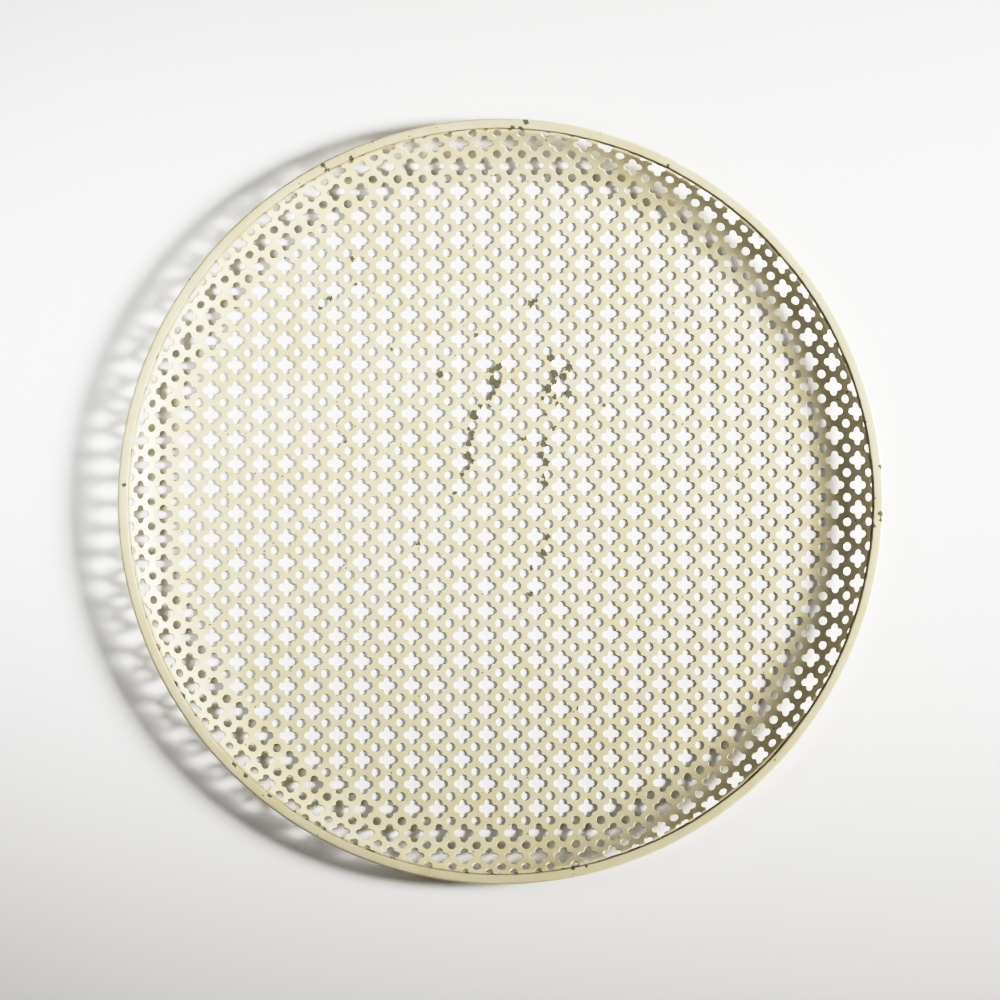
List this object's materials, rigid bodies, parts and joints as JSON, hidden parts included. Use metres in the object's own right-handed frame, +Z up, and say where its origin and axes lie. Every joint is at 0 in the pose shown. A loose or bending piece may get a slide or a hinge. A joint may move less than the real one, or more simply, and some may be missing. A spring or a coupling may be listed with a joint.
{
  "type": "serving tray",
  "caption": "Shallow round serving tray of perforated sheet metal with a curved wall and a folded rim band, painted cream.",
  "frame": {"origin": "on the tray's centre line, at the underside of the flat floor that it stands on", "axes": "+Z up along the centre line, out of the dish; the hole pattern's rows run along X and Y to within half a degree; the closing piece of the rim is at about 116 degrees from +X towards +Y"},
  "size_m": [0.381, 0.381, 0.0137],
  "materials": {
    "dish_paint": "semi-gloss cream paint, aged and chipped",
    "band_paint": "semi-gloss cream paint, cracked at the joints"
  },
  "bodies": {
    "root": {"perforated_dish": "dish_paint", "rim_band": "band_paint", "rim_closing_piece": "band_paint"}
  },
  "joints": []
}
